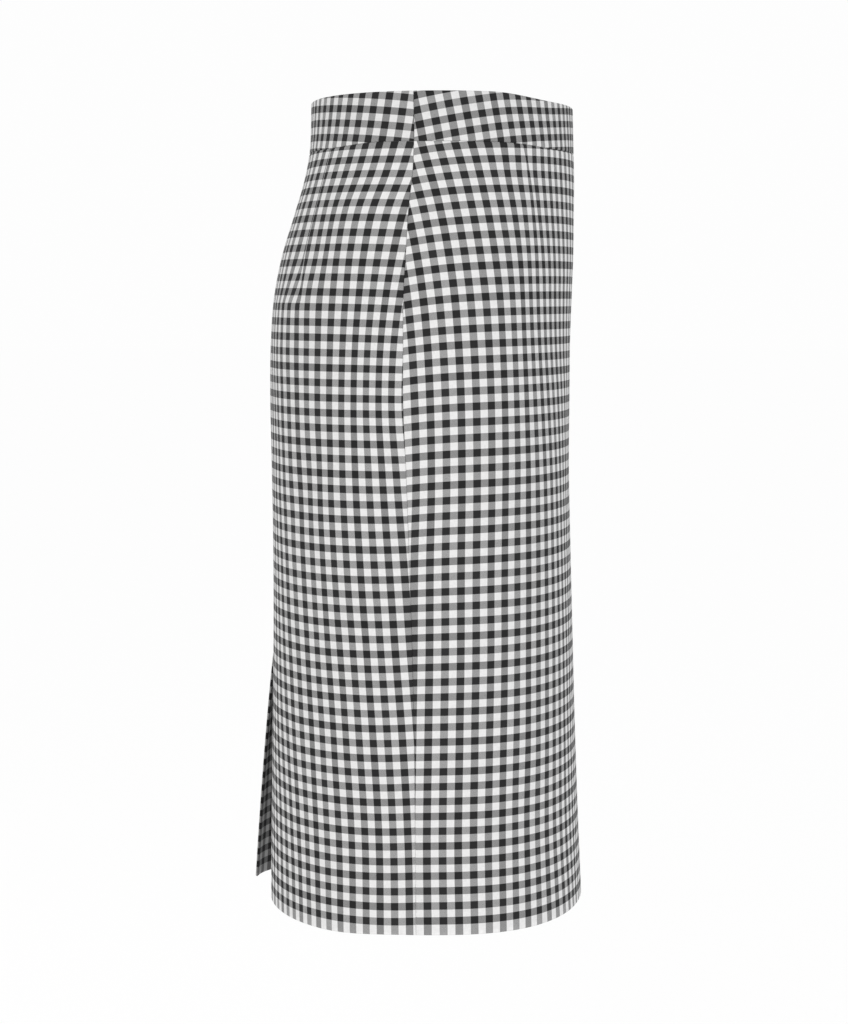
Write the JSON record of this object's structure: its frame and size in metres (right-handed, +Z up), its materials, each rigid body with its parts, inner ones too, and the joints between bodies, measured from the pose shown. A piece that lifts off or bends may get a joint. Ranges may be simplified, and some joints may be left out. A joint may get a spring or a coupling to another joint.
{
  "type": "midi skirt",
  "caption": "Hollow pencil midi skirt in gingham cloth, held at the waist, with a shaped waistband, darts, a concealed left side zip with a hinged pull tab and a slit at the back hem.",
  "frame": {"origin": "middle of the waist, half-way up the waistband", "axes": "+Z up along the garment; -Y towards its front; +X towards the wearer's left"},
  "size_m": [0.355, 0.2933, 0.6951],
  "materials": {
    "gingham": "woven black and white gingham, matt",
    "zip_tape": "woven polyester tape, matt",
    "zip_metal": "black enamel, satin"
  },
  "bodies": {
    "skirt": {"waistband_front": "gingham", "waistband_back": "gingham", "skirt_front": "gingham", "skirt_back_left": "gingham", "skirt_back_right": "gingham", "zip_tape_front": "zip_tape", "zip_tape_back": "zip_tape", "zip_slider": "zip_metal"},
    "pull": {"zip_pull": "zip_metal"}
  },
  "joints": [
    {"name": "pull_hinge", "type": "hinge", "parent": "skirt", "child": "pull", "pos_m": [0.14758, 0.02429, 0.01099], "axis": [0.1594, -0.986, 0.0499], "range_deg": [0, 150]}
  ]
}
